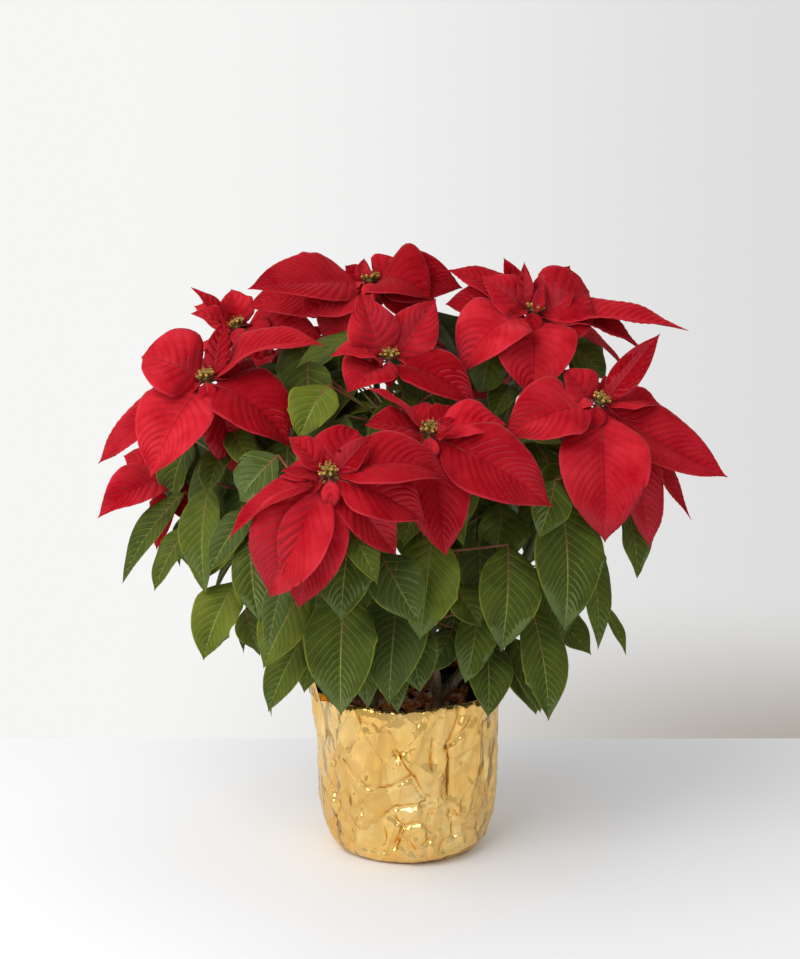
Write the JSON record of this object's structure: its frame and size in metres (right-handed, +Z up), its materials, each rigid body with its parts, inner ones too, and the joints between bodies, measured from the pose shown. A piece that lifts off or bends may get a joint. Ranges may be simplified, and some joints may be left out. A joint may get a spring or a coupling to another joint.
{
  "type": "potted poinsettia",
  "caption": "Bushy poinsettia with pointed red bracts over green leaves, growing in a pot wrapped in crumpled gold foil.",
  "frame": {"origin": "middle of the flat base of the foil wrap", "axes": "+Z up along the pot's axis, -Y towards the viewer of the reference picture, +X to that viewer's right"},
  "size_m": [0.537, 0.4396, 0.529],
  "materials": {
    "gold_foil": "metallised gold film, crumpled and glossy",
    "pot_plastic": "plain moulded plastic",
    "bark_soil": "loose bark and peat",
    "woody_bark": "dull green-brown bark",
    "green_leaf": "soft satin leaf",
    "red_bract": "velvety bract",
    "yellow_bud": "waxy bud"
  },
  "bodies": {
    "root": {"foil_wrap": "gold_foil", "grow_pot": "pot_plastic", "soil": "bark_soil", "woody_stem_a": "woody_bark", "woody_stem_b": "woody_bark", "woody_stem_c": "woody_bark", "leafy_stem_left": "green_leaf", "bracts_left": "red_bract", "flower_buds_left": "yellow_bud", "leafy_stem_upper_left": "green_leaf", "bracts_upper_left": "red_bract", "flower_buds_upper_left": "yellow_bud", "leafy_stem_top": "green_leaf", "bracts_top": "red_bract", "flower_buds_top": "yellow_bud", "leafy_stem_centre": "green_leaf", "bracts_centre": "red_bract", "flower_buds_centre": "yellow_bud", "leafy_stem_middle": "green_leaf", "bracts_middle": "red_bract", "flower_buds_middle": "yellow_bud", "leafy_stem_front": "green_leaf", "bracts_front": "red_bract", "flower_buds_front": "yellow_bud", "leafy_stem_upper_right": "green_leaf", "bracts_upper_right": "red_bract", "flower_buds_upper_right": "yellow_bud", "leafy_stem_right": "green_leaf", "bracts_right": "red_bract", "flower_buds_right": "yellow_bud", "leafy_stem_low_left": "green_leaf", "bracts_low_left": "red_bract", "flower_buds_low_left": "yellow_bud", "leafy_stem_back_left": "green_leaf", "bracts_back_left": "red_bract", "flower_buds_back_left": "yellow_bud", "leafy_stem_back": "green_leaf", "bracts_back": "red_bract", "flower_buds_back": "yellow_bud", "leafy_stem_back_right": "green_leaf", "bracts_back_right": "red_bract", "flower_buds_back_right": "yellow_bud", "leafy_stem_far_right": "green_leaf", "bracts_far_right": "red_bract", "flower_buds_far_right": "yellow_bud"}
  },
  "joints": []
}
